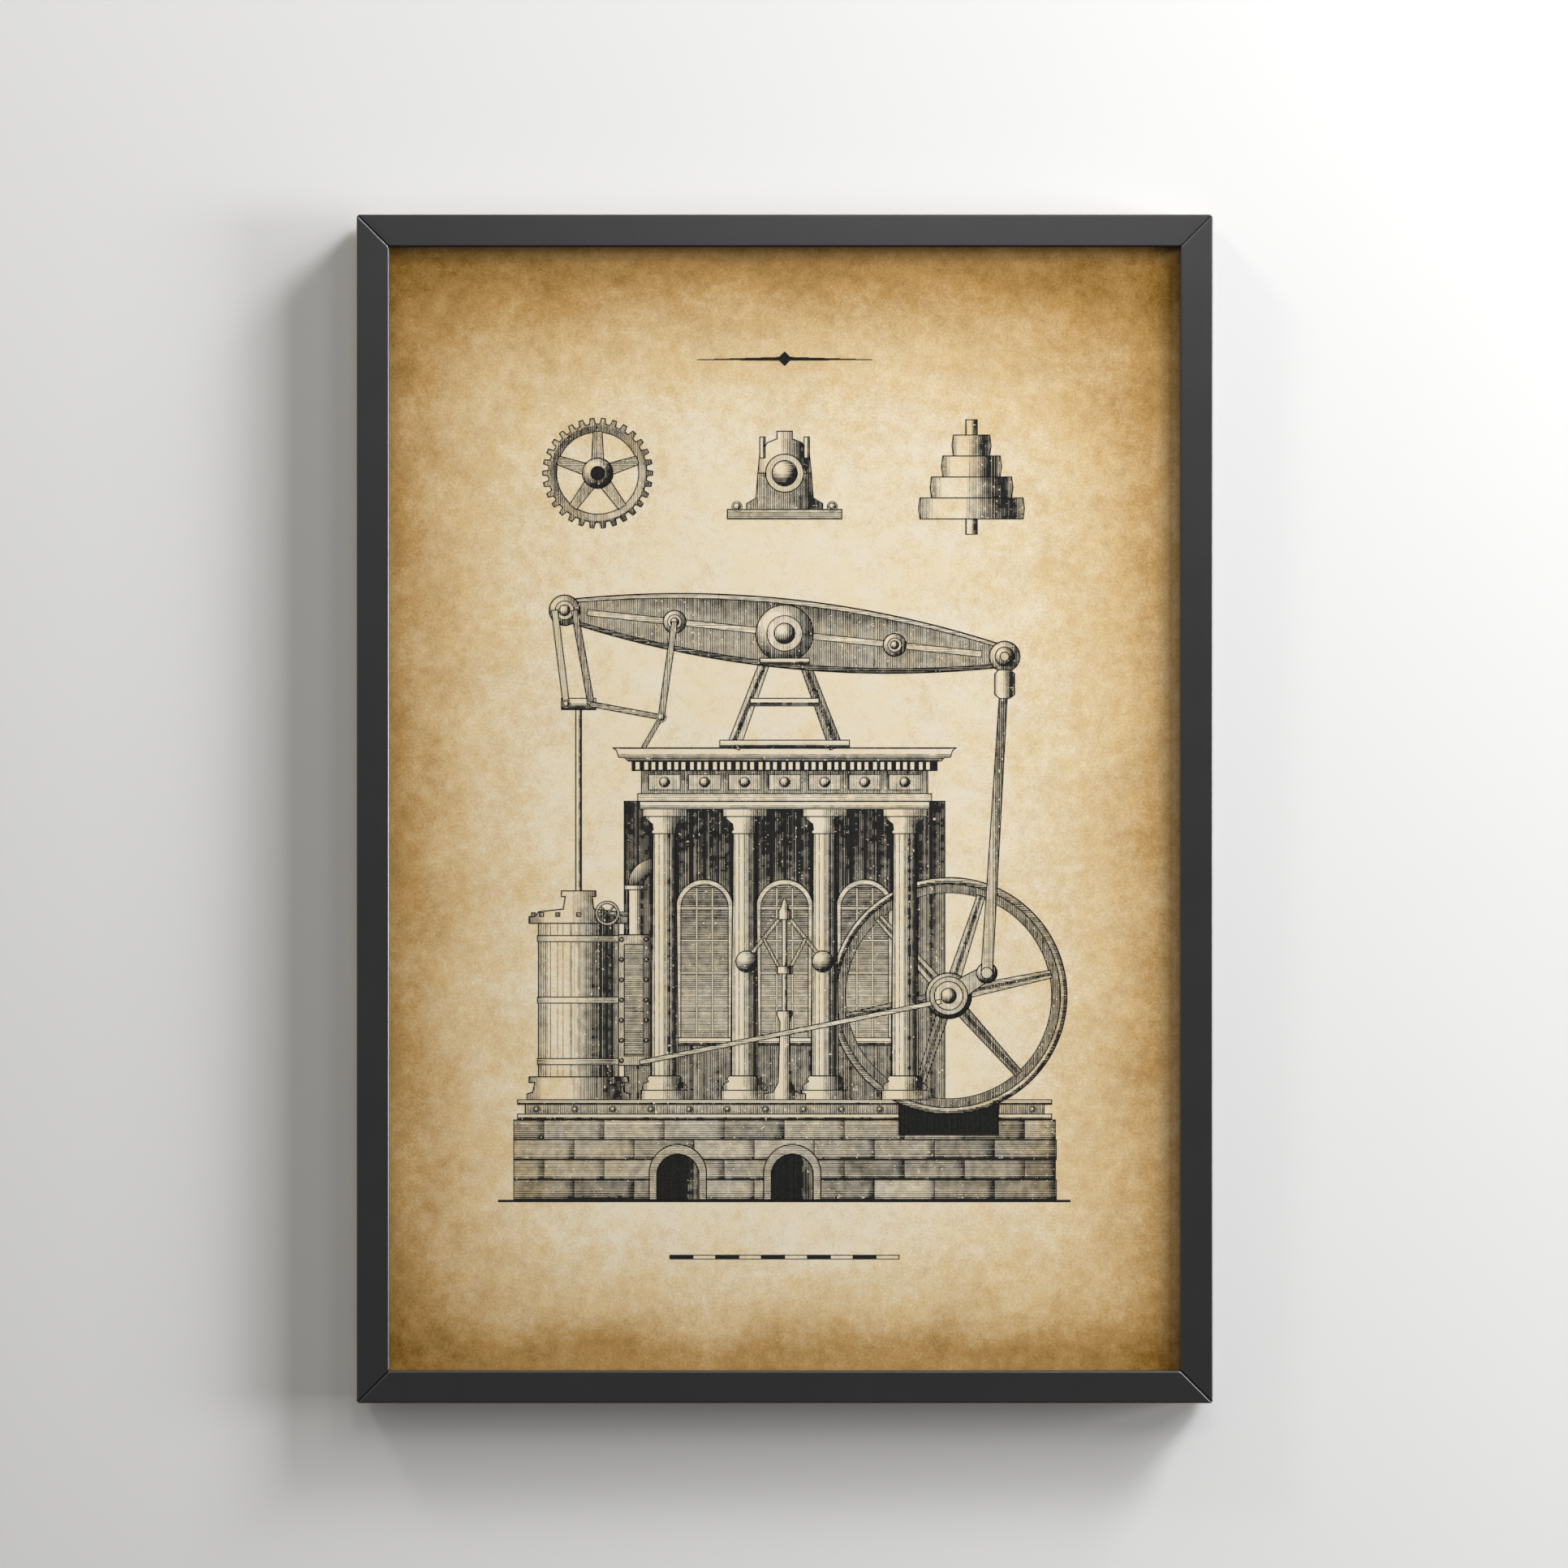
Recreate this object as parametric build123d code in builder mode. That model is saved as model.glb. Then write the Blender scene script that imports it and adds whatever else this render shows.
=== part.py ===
from build123d import *
import os

os.makedirs("parts", exist_ok=True)

# The printed sheet, and the panels that lie with it in the rebate
sheet_width = 420
sheet_height = 594
sheet_thickness = 0.3
sheet_clearance = 1
glazing_thickness = 2
glazing_air = 0.15
board_thickness = 3
panel_clearance = 0.5

# The moulding's section: x runs in from the outer side, y runs forward from the back
face_width = 17
rail_depth = 25
rebate_width = 4
lip_thickness = 3
inner_bevel_width = 1.2
inner_bevel_depth = 0.8
outer_arris_radius = 1.6
inner_arris_radius = 0.8
lip_arris_radius = 0.3
back_arris_radius = 0.8
mitre_ease = 0.7

# Flat steel points, driven into the rebate wall over the backing board
point_length = 16
point_width = 5.5
point_thickness = 0.5
point_embed = 5
point_tip = 2.5
point_corner_radius = 1.2
long_rail_points = 4
short_rail_points = 3

# Folded steel nails, pressed across each mitre from the back
fold_nail_width = 7
fold_nail_rise = 3
fold_nail_thickness = 0.6
fold_nail_depth = 10
fold_nails_per_corner = 2

# The stamped sawtooth hanger, pinned to the top rail's back
wall_standoff = 3
hanger_length = 46
hanger_height = 10
hanger_thickness = 0.8
hanger_ear_length = 9
hanger_joggle_run = 3
hanger_bend_radius = 0.5
hanger_corner_radius = 2.5
tooth_pitch = 3
tooth_depth = 2
tooth_root_radius = 0.4

# Round-headed pins through the hanger's ears
pin_shank_radius = 0.65
pin_length = 9
pin_point_length = 1.5
pin_head_radius = 1.6
pin_head_height = 0.9
pin_clearance = 0.05

# Soft bumpers at the bottom corners, which keep the frame parallel to the wall
bumper_radius = 5
bumper_edge_radius = 1
bumper_inset = 30

# Worked-out sizes
back_width = face_width - rebate_width
outer_width = sheet_width + 2 * (sheet_clearance + back_width)
outer_height = sheet_height + 2 * (sheet_clearance + back_width)
panel_width = sheet_width + 2 * (sheet_clearance - panel_clearance)
panel_height = sheet_height + 2 * (sheet_clearance - panel_clearance)

# Worked-out places: the wall is at y = 0, and the hanger's middle is at the origin
back_y = -wall_standoff
front_y = back_y - rail_depth
top_z = back_width / 2
middle_z = top_z - outer_height / 2
bottom_z = top_z - outer_height
glazing_front_y = front_y + lip_thickness
glazing_back_y = glazing_front_y + glazing_thickness
sheet_front_y = glazing_back_y + glazing_air
board_front_y = sheet_front_y + sheet_thickness
board_back_y = board_front_y + board_thickness

BACK = Vector(0, 1, 0)
FRONT = Vector(0, -1, 0)


def save(part, name):
    """Labels a finished piece and writes it under its own name."""
    part.label = name
    export_step(part, f"parts/{name}.step")


def make_panel(width, height, front, thickness):
    """A flat rectangular panel, centred in the frame, from its front face back."""
    with BuildPart() as panel:
        with BuildSketch(Plane(origin=(0, front, middle_z), x_dir=(1, 0, 0), z_dir=BACK)):
            Rectangle(width, height)
        extrude(amount=thickness)
    return panel.part


def make_point(place):
    """A flat steel point: its tip is in the rail, its tail lies on the board.
    The place has x inward from the rebate wall and z towards the wall."""
    half = point_width / 2
    with BuildPart() as point:
        with BuildSketch(place) as outline:
            with BuildLine():
                Polyline(
                    (-point_embed, 0),
                    (point_tip - point_embed, half),
                    (point_length - point_embed, half),
                    (point_length - point_embed, -half),
                    (point_tip - point_embed, -half),
                    close=True,
                )
            make_face()
            fillet(outline.vertices().group_by(Axis.X)[-1], radius=point_corner_radius)
        extrude(amount=point_thickness)
    return point.part


def make_fold_nail(place):
    """A strip folded to a V. The place has x along the mitre, from the outer corner
    inward, and z into the rails. The fold lies on the mitre and opens outward."""
    half = fold_nail_width / 2
    with BuildPart() as fold_nail:
        with BuildSketch(place) as outline:
            with BuildLine():
                Polyline(
                    (-fold_nail_rise / 2, half),
                    (fold_nail_rise / 2, 0),
                    (-fold_nail_rise / 2, -half),
                    (-fold_nail_rise / 2 - fold_nail_thickness, -half),
                    (fold_nail_rise / 2 - fold_nail_thickness, 0),
                    (-fold_nail_rise / 2 - fold_nail_thickness, half),
                    close=True,
                )
            make_face()
        extrude(amount=fold_nail_depth)
    return fold_nail.part


def make_rail(middle, inward, along, length, fixings):
    """One mitred length of moulding. Its section is drawn at mid-length and runs half
    its length each way; a trapezium seen from the front then cuts both mitres. The front
    edges are eased: first each mitre, then the bevel's edge on the lip and the arrises."""
    section_plane = Plane(origin=middle, x_dir=inward, z_dir=along)
    outline_plane = Plane(origin=middle, x_dir=inward, z_dir=FRONT)
    lip_back = rail_depth - lip_thickness
    half_outer = length / 2
    half_inner = length / 2 - face_width
    with BuildPart() as rail:
        with BuildSketch(section_plane) as section:
            with BuildLine():
                Polyline(
                    (0, 0),
                    (0, rail_depth),
                    (face_width - inner_bevel_width, rail_depth),
                    (face_width, rail_depth - inner_bevel_depth),
                    (face_width, lip_back),
                    (back_width, lip_back),
                    (back_width, 0),
                    close=True,
                )
            make_face()
            fillet(section.vertices().group_by(Axis.Y)[0], radius=back_arris_radius)
        extrude(amount=length / 2, both=True)
        with BuildSketch(outline_plane):
            with BuildLine():
                Polyline(
                    (0, half_outer),
                    (face_width, half_inner),
                    (face_width, -half_inner),
                    (0, -half_outer),
                    close=True,
                )
            make_face()
        extrude(amount=rail_depth, mode=Mode.INTERSECT)
        for sense in (1, -1):
            mitre = rail.faces().sort_by(Axis(middle, Vector(along) * sense))[-1]
            chamfer(mitre.edges().group_by(Axis.Y)[0], length=mitre_ease)
        for row, end, radius in (
            (1, 0, lip_arris_radius),
            (0, 0, outer_arris_radius),
            (0, -1, inner_arris_radius),
        ):
            arrises = rail.edges().filter_by(Axis(middle, along)).group_by(Axis.Y)[row]
            fillet(arrises.sort_by(Axis(middle, inward))[end], radius=radius)
        for fixing in fixings:
            add(fixing, mode=Mode.SUBTRACT)
    return rail.part


# The glazing lies on the lip, the sheet behind it, and the board on the sheet's back
glazing = make_panel(panel_width, panel_height, glazing_front_y, glazing_thickness)
save(glazing, "glazing")

print_sheet = make_panel(sheet_width, sheet_height, sheet_front_y, sheet_thickness)
save(print_sheet, "print_sheet")

backing_board = make_panel(panel_width, panel_height, board_front_y, board_thickness)
save(backing_board, "backing_board")

# Each side of the frame: its outer middle at the back, the way inward, the way along
side_x = outer_width / 2
rails = {
    "top": ((0, back_y, top_z), (0, 0, -1), (-1, 0, 0), outer_width, short_rail_points),
    "right": ((side_x, back_y, middle_z), (-1, 0, 0), (0, 0, 1), outer_height, long_rail_points),
    "bottom": ((0, back_y, bottom_z), (0, 0, 1), (1, 0, 0), outer_width, short_rail_points),
    "left": ((-side_x, back_y, middle_z), (1, 0, 0), (0, 0, -1), outer_height, long_rail_points),
}

# Points, evenly spread along each side, on the board's back
side_points = {}
for side, (middle, inward, along, length, count) in rails.items():
    wall = Vector(middle) + Vector(inward) * back_width
    wall = Vector(wall.X, board_back_y, wall.Z)
    pitch = (length - 2 * back_width) / count
    side_points[side] = []
    for index in range(count):
        origin = wall + Vector(along) * pitch * (index - (count - 1) / 2)
        point = make_point(Plane(origin=origin, x_dir=inward, z_dir=BACK))
        save(point, f"point_{side}_{index + 1}")
        side_points[side].append(point)

# Fold nails, evenly spread along each mitre's back
corners = {
    "top_left": (-1, 1),
    "top_right": (1, 1),
    "bottom_right": (1, -1),
    "bottom_left": (-1, -1),
}
corner_nails = {}
mitre_length = back_width * 2 ** 0.5
for corner, (x_sense, z_sense) in corners.items():
    outer_corner = Vector(x_sense * side_x, back_y, middle_z + z_sense * outer_height / 2)
    inward = Vector(-x_sense, 0, -z_sense).normalized()
    corner_nails[corner] = []
    for index in range(fold_nails_per_corner):
        run = mitre_length * (index + 1) / (fold_nails_per_corner + 1)
        place = Plane(origin=outer_corner + inward * run, x_dir=inward, z_dir=FRONT)
        fold_nail = make_fold_nail(place)
        save(fold_nail, f"fold_nail_{corner}_{index + 1}")
        corner_nails[corner].append(fold_nail)

# The hanger: a strip joggled out from the top rail's back to the wall, along x
middle_length = hanger_length - 2 * (hanger_ear_length + hanger_joggle_run)
tooth_count = int(middle_length / tooth_pitch)
half_length = hanger_length / 2
half_middle = middle_length / 2
half_joggle = half_middle + hanger_joggle_run
ear_face_y = back_y + hanger_thickness
with BuildPart() as hanger:
    with BuildSketch(Plane.XY.offset(-hanger_height / 2)) as strip:
        with BuildLine():
            Polyline(
                (-half_length, back_y),
                (-half_joggle, back_y),
                (-half_middle, -hanger_thickness),
                (half_middle, -hanger_thickness),
                (half_joggle, back_y),
                (half_length, back_y),
                (half_length, ear_face_y),
                (half_joggle - hanger_bend_radius, ear_face_y),
                (half_middle - hanger_bend_radius, 0),
                (hanger_bend_radius - half_middle, 0),
                (hanger_bend_radius - half_joggle, ear_face_y),
                (-half_length, ear_face_y),
                close=True,
            )
        make_face()
    extrude(amount=hanger_height)
    bends = hanger.edges().filter_by(Axis.Z).filter_by(
        lambda edge: abs(edge.center().X) < half_length - hanger_ear_length / 2
    )
    fillet(bends, radius=hanger_bend_radius)
    ear_corners = hanger.edges().filter_by(Axis.Y).filter_by(
        lambda edge: abs(edge.center().X) > half_length - hanger_ear_length / 2
    )
    fillet(ear_corners, radius=hanger_corner_radius)
    with BuildSketch(Plane.XZ) as teeth:
        with Locations((0, -hanger_height / 2)):
            with GridLocations(tooth_pitch, 0, tooth_count, 1):
                with BuildLine():
                    Polyline(
                        (-tooth_pitch / 2, 0),
                        (0, tooth_depth),
                        (tooth_pitch / 2, 0),
                        close=True,
                    )
                make_face()
        fillet(teeth.vertices().group_by(Axis.Y)[-1], radius=tooth_root_radius)
    extrude(amount=wall_standoff, mode=Mode.SUBTRACT)
    pin_x = half_length - hanger_ear_length / 2
    with BuildSketch(Plane.XZ):
        with GridLocations(2 * pin_x, 0, 2, 1):
            Circle(pin_shank_radius + pin_clearance)
    extrude(amount=wall_standoff, mode=Mode.SUBTRACT)
save(hanger.part, "hanger")

# Pins: a domed head on the ear, and a pointed shank in the rail
pin_holes = []
for side, x in {"left": -pin_x, "right": pin_x}.items():
    with BuildPart() as pin:
        with BuildSketch(Plane(origin=(x, ear_face_y, 0), x_dir=(1, 0, 0), z_dir=(0, 0, 1))):
            with BuildLine():
                Line((0, 0), (0, pin_head_height))
                ThreePointArc(
                    (0, pin_head_height),
                    (pin_head_radius * 0.7, pin_head_height * 0.7),
                    (pin_head_radius, 0),
                )
                Polyline(
                    (pin_head_radius, 0),
                    (pin_shank_radius, 0),
                    (pin_shank_radius, pin_point_length - pin_length),
                    (0, -pin_length),
                    (0, 0),
                )
            make_face()
        revolve(axis=Axis((x, ear_face_y, 0), BACK))
    save(pin.part, f"hanger_pin_{side}")
    with BuildPart() as pin_hole:
        with BuildSketch(Plane(origin=(x, back_y, 0), x_dir=(1, 0, 0), z_dir=FRONT)):
            Circle(pin_shank_radius + pin_clearance)
        extrude(amount=pin_length - hanger_thickness + pin_clearance)
    pin_holes.append(pin_hole.part)

# Rails, cut for the points, the fold nails and the pins that each one holds
rail_corners = {
    "top": ("top_left", "top_right"),
    "right": ("top_right", "bottom_right"),
    "bottom": ("bottom_left", "bottom_right"),
    "left": ("top_left", "bottom_left"),
}
for side, (middle, inward, along, length, count) in rails.items():
    fixings = side_points[side] + corner_nails[rail_corners[side][0]]
    fixings = fixings + corner_nails[rail_corners[side][1]]
    if side == "top":
        fixings = fixings + pin_holes
    rail = make_rail(middle, inward, along, length, fixings)
    save(rail, f"rail_{side}")

# Bumpers: soft discs on the bottom rail's back, level with the hanger's outer face
for side, x in {"left": bumper_inset - side_x, "right": side_x - bumper_inset}.items():
    seat = (x, back_y, bottom_z + back_width / 2)
    with BuildPart() as bumper:
        with BuildSketch(Plane(origin=seat, x_dir=(1, 0, 0), z_dir=BACK)):
            Circle(bumper_radius)
        extrude(amount=wall_standoff)
        rim = bumper.edges().group_by(Axis.Y)[-1]
        fillet(rim, radius=bumper_edge_radius)
    save(bumper.part, f"bumper_{side}")
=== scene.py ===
import bpy
import math
import numpy as np
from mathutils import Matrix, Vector


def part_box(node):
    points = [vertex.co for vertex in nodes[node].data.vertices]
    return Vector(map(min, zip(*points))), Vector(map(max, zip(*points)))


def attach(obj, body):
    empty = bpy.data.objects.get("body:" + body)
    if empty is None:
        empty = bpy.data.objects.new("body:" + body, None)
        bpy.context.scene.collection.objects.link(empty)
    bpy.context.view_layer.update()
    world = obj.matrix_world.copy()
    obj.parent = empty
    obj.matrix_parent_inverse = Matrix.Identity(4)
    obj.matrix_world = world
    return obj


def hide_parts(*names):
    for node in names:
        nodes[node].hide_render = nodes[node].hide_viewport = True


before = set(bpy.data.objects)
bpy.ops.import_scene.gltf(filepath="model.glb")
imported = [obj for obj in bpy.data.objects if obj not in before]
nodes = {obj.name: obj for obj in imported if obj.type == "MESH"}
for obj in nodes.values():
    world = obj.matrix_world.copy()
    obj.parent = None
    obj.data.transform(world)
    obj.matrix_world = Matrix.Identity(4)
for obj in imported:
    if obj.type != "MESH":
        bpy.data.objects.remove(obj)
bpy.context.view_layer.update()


# Moulding: four mitred lengths of rebated pine, lacquered charcoal on the face and sides
# and left bare behind. Each is one section carried along a side, its inner edge bevelled
# and its mitres eased into a fine groove, with the crack of the joint in it.

MM = 0.001
low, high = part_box("rail_left")
face_width = high.x - low.x
rail_depth = high.y - low.y
frame_left, frame_right = low.x, -low.x
frame_bottom, frame_top = low.z, high.z
frame_front, frame_back = low.y, high.y
middle_z = (frame_top + frame_bottom) / 2
rebate_width = 4 * MM
lip_thickness = 3 * MM
mitre_ease = 0.8 * MM
mitre_groove = 0.44 * MM
crack_reach = 0.24 * MM
crack_depth = 0.55 * MM
back_setback = 0.05 * MM
lead = 0.1 * MM

# The section's rounded stretches, as (radius, the outward normal's first and last angle)
back_inner_arris = [(0.8 * MM, -90, 0)]
inner_bevel = [(0.3 * MM, 0, 45), (2.2 * MM, 45, 64), (0.8 * MM, 64, 90)]
outer_arris = [(1.1 * MM, 90, 130), (0.7 * MM, 130, 180)]
back_outer_arris = [(0.8 * MM, 180, 270)]


def rounded(stretches, per_step=6):
    """A run of tangent arcs from the origin: each adds R * (u(b) - u(a)), where u is the
    unit vector at the normal's angle, for its radius R and angles a to b in degrees. It
    has a short straight lead at both ends, which keeps the flats beside it flat."""
    points = np.zeros((1, 2))
    for radius, first, last in stretches:
        steps = max(3, math.ceil((last - first) / per_step))
        angle = np.radians(np.linspace(first, last, steps + 1))
        unit = np.stack([np.cos(angle), np.sin(angle)], 1)
        points = np.concatenate([points, points[-1] + radius * (unit[1:] - unit[0])])
    ends = np.radians([stretches[0][1], stretches[-1][2]])
    leads = np.stack([-np.sin(ends), np.cos(ends)], 1) * lead
    return np.concatenate([[-leads[0]], points, [points[-1] + leads[1]]])


def moulding_section():
    """The section's points and outward normals, x inward from the outer side and y
    forward from the back, anticlockwise seen with x right and y up."""
    back = face_width - rebate_width
    lip = rail_depth - lip_thickness
    bevel, outer = rounded(inner_bevel), rounded(outer_arris)
    inner, behind = rounded(back_inner_arris), rounded(back_outer_arris)
    runs = [
        inner + (back - inner[-1, 0], 0),
        [(back, lip), (face_width, lip)],
        bevel + (face_width, rail_depth - bevel[-1, 1]),
        outer + (-outer[-1, 0], rail_depth),
        behind + (0, -behind[-1, 1]),
    ]
    points = np.concatenate([np.asarray(run, float) for run in runs])
    before = points - np.roll(points, 1, 0)
    after = np.roll(points, -1, 0) - points
    turn = before / np.linalg.norm(before, axis=1, keepdims=True)
    turn = turn + after / np.linalg.norm(after, axis=1, keepdims=True)
    normals = np.stack([turn[:, 1], -turn[:, 0]], 1)
    return points, normals / np.linalg.norm(normals, axis=1, keepdims=True)


def rail_skin(length):
    """One rail in its own axes: x inward, y forward, z along. At a distance s from the
    mitre plane the section is drawn in by groove * (1 - s / ease)^1.2 and, for the crack,
    by depth * (1 - s / reach), both less towards the back. Each point lies
    (length / 2 - x - s * sqrt 2) from the rail's middle."""
    points, normals = moulding_section()
    eased_part = crack_reach + (mitre_ease - crack_reach) * np.linspace(0, 1, 9) ** 1.2
    s = np.concatenate([[0], eased_part, [1.15 * mitre_ease]])
    draw = mitre_groove * np.maximum(1 - s / mitre_ease, 0) ** 1.2
    draw = draw + crack_depth * np.maximum(1 - s / crack_reach, 0)
    share = points[:, 1] / rail_depth
    rings = points - normals * (draw[:, None] * share)[:, :, None]
    along = length / 2 - rings[:, :, 0] - s[:, None] * math.sqrt(2)
    ends = np.concatenate([rings, along[:, :, None]], 2)
    return np.concatenate([ends, (ends * (1, 1, -1))[::-1]])


def add_piece(name, points, faces, uv=None, smooth_under=None):
    """A mesh of the given points, (n, 3), and a list of arrays with one face a row. Its
    edges turn smoothly where they bend less than smooth_under degrees."""
    mesh = bpy.data.meshes.new(name)
    mesh.vertices.add(len(points))
    mesh.vertices.foreach_set("co", np.asarray(points, np.float32).ravel())
    corners = np.concatenate([group.ravel() for group in faces])
    sides = np.concatenate([np.full(len(group), group.shape[1]) for group in faces])
    mesh.loops.add(len(corners))
    mesh.loops.foreach_set("vertex_index", corners.astype(np.int32))
    mesh.polygons.add(len(sides))
    starts = np.concatenate([[0], np.cumsum(sides)[:-1]])
    mesh.polygons.foreach_set("loop_start", starts.astype(np.int32))
    mesh.update(calc_edges=True)
    if uv is not None:
        mesh.uv_layers.new(name="along")
        mesh.uv_layers["along"].data.foreach_set("uv", uv.astype(np.float32).ravel())
    if smooth_under:
        mesh.polygons.foreach_set("use_smooth", np.ones(len(sides), bool))
        mesh.set_sharp_from_angle(angle=math.radians(smooth_under))
    piece = bpy.data.objects.new(name, mesh)
    bpy.context.scene.collection.objects.link(piece)
    return piece


def math_operator(operation, swapped=False):
    """An operator that adds a Math node, with its values swapped for a reflected form."""

    def operator(self, other):
        first, second = (other, self) if swapped else (self, other)
        return self.finish.node("Math", {"operation": operation}, {0: first, 1: second})

    return operator


class Tone:
    """A number, colour or vector that changes over a surface: one output of a node."""

    def __init__(self, finish, socket):
        self.finish = finish
        self.socket = socket

    __add__ = math_operator("ADD")
    __radd__ = math_operator("ADD", swapped=True)
    __sub__ = math_operator("SUBTRACT")
    __rsub__ = math_operator("SUBTRACT", swapped=True)
    __mul__ = math_operator("MULTIPLY")
    __rmul__ = math_operator("MULTIPLY", swapped=True)
    __truediv__ = math_operator("DIVIDE")
    __pow__ = math_operator("POWER")


class Finish:
    """A material in the making. Its last shader goes to the output."""

    def __init__(self, name, tree=None):
        if tree is None:
            self.material = bpy.data.materials.new(name)
            self.material.use_nodes = True
            tree = self.material.node_tree
        self.tree = tree
        self.tree.nodes.clear()

    def node(self, kind, settings=None, sockets=None, output=0):
        """Adds a node, makes its settings, gives its sockets their values or links, and
        wraps the output asked for. A ramp's stops are a list of (place, colour)."""
        node = self.tree.nodes.new("ShaderNode" + kind)
        settings = dict(settings or {})
        stops = settings.pop("stops", [])
        for name, value in settings.items():
            setattr(node, name, value)
        for place, _ in stops[1:-1]:
            node.color_ramp.elements.new(place)
        for element, (place, colour) in zip(node.color_ramp.elements if stops else [], stops):
            element.position = place
            element.color = (*colour, 1)
        for name, value in (sockets or {}).items():
            socket = node.inputs[name]
            if isinstance(value, Tone):
                self.tree.links.new(value.socket, socket)
            elif socket.type == "RGBA":
                socket.default_value = (*value, 1)
            else:
                socket.default_value = value
        return Tone(self, node.outputs[output])

    def blend(self, factor, first, second, mode="MIX"):
        """Two colours mixed, where each is a Tone or three numbers."""
        settings = {"data_type": "RGBA", "blend_type": mode}
        return self.node("Mix", settings, {0: factor, 6: first, 7: second}, output=2)

    def place(self):
        """The point in the object's own metres."""
        return self.node("TexCoord", output="Object")

    def noise(self, size, detail=3, roughness=0.5, stretch=(1, 1, 1), place=None):
        """Cloudy noise about 0.5, of that size in metres, drawn out by stretch."""
        scale = tuple(1 / (size * share) for share in stretch)
        point = self.node(
            "VectorMath", {"operation": "MULTIPLY"}, {0: place or self.place(), 1: scale}
        )
        sockets = {"Vector": point, "Scale": 1, "Detail": detail, "Roughness": roughness}
        return self.node("TexNoise", {}, sockets)

    def between(self, value, start, stop, first=0, last=1):
        """A value carried from start..stop to first..last and held there."""
        sockets = {"Value": value, 1: start, 2: stop, 3: first, 4: last}
        return self.node("MapRange", {"clamp": True}, sockets)

    def bump(self, height, distance, strength=1):
        """A normal tilted by a height, where a height of 1 is that distance in metres."""
        sockets = {"Height": height, "Distance": distance, "Strength": strength}
        return self.node("Bump", {}, sockets)

    def surface(self, sockets):
        """Ends the finish in a Principled surface with these sockets."""
        self.end(self.node("BsdfPrincipled", {}, sockets))

    def end(self, shader):
        """Sends a shader to the output."""
        output = self.tree.nodes.new("ShaderNodeOutputMaterial")
        self.tree.links.new(shader.socket, output.inputs["Surface"])


def linear(*levels):
    """A colour given as three levels of 255, as the linear values nodes take."""
    levels = np.array(levels) / 255
    low_part = levels / 12.92
    return tuple(np.where(levels < 0.04045, low_part, ((levels + 0.055) / 1.055) ** 2.4))


lacquer = Finish("charcoal_lacquer_on_pine")
charcoal = (0.0085, 0.0086, 0.0102)
mottle = lacquer.noise(30 * MM, detail=4)
peel = lacquer.noise(0.9 * MM, detail=2)
painted = lacquer.blend(
    lacquer.between(mottle, 0.35, 0.7), charcoal, tuple(1.12 * c for c in charcoal)
)
run_of_rail = lacquer.node("UVMap", {"uv_map": "along"})
grain = lacquer.noise(1 * MM, detail=5, stretch=(60, 1.1, 1), place=run_of_rail)
figure = lacquer.noise(1 * MM, detail=2, stretch=(240, 7, 1), place=run_of_rail)
pine = lacquer.node(
    "ValToRGB",
    {"stops": [
        (0.3, linear(146, 105, 66)),
        (0.55, linear(196, 158, 112)),
        (0.75, linear(214, 181, 138)),
    ]},
    {"Fac": grain * 0.6 + figure * 0.4},
)
depth = lacquer.node("SeparateXYZ", {}, {0: lacquer.place()}, output="Y")
overspray = lacquer.noise(5 * MM, detail=4) - 0.5
bare = lacquer.between(depth + overspray * (1.6 * MM), frame_back - 1.3 * MM, frame_back - 0.5 * MM)
lacquer.surface({
    "Base Color": lacquer.blend(bare, painted, pine),
    "Roughness": lacquer.between(bare, 0, 1, 0.34, 0.8) + (mottle - 0.5) * 0.06,
    "Specular IOR Level": 1.0,
    "Specular Tint": (0.94, 0.945, 1.0),
    "Coat Weight": 0.8 * (1 - bare),
    "Coat Roughness": 0.3,
    "Normal": lacquer.bump(peel * (1 - bare) + grain * bare * 6, 0.012 * MM),
})

inward_of = {"top": (0, -1), "right": (-1, 0), "bottom": (0, 1), "left": (1, 0)}
for side, (x_in, z_in) in inward_of.items():
    length = frame_top - frame_bottom if x_in else frame_right - frame_left
    skin = rail_skin(length)
    rings, around = skin.shape[:2]
    inner, forward, along = skin[..., 0], skin[..., 1] + back_setback, skin[..., 2]
    x = -x_in * frame_right + x_in * inner + z_in * along
    z = middle_z - z_in * (frame_top - frame_bottom) / 2 + z_in * inner - x_in * along
    points = np.stack([x, frame_back - forward, z], 2).reshape(-1, 3)
    index = np.arange(rings * around).reshape(rings, around)
    beside = np.roll(index, -1, 1)
    walls = np.stack([index[:-1], index[1:], beside[1:], beside[:-1]], 2).reshape(-1, 4)
    caps = np.stack([index[0], index[-1][::-1]])

    section = skin[0, :, :2]
    steps = np.linalg.norm(np.roll(section, -1, 0) - section, axis=1)
    girth = np.concatenate([[0], np.cumsum(steps)])
    along_beside = np.roll(along, -1, 1)
    u = np.stack([along[:-1], along[1:], along_beside[1:], along_beside[:-1]], 2)
    v = np.broadcast_to(np.stack([girth[:-1], girth[:-1], girth[1:], girth[1:]], 1), u.shape)
    wall_uv = np.stack([u, v], 3).reshape(-1, 2)
    cap_uv = np.concatenate([skin[0, :, :2], skin[-1, ::-1, :2]])
    rail = add_piece(
        "moulding_" + side, points, [walls, caps], np.concatenate([wall_uv, cap_uv]), smooth_under=35
    )
    rail.data.materials.append(lacquer.material)
    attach(rail, "root")
    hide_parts("rail_" + side)


# Glazing: a sheet of 2 mm picture glass with a low-reflection coating, dropped into the
# rebate behind the lip. It is clear with a faint green, and mirrors a little of the room.


def dress(node, finish):
    """Gives a CAD node this finish in each of its material slots."""
    for slot in nodes[node].material_slots:
        slot.material = finish.material


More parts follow.
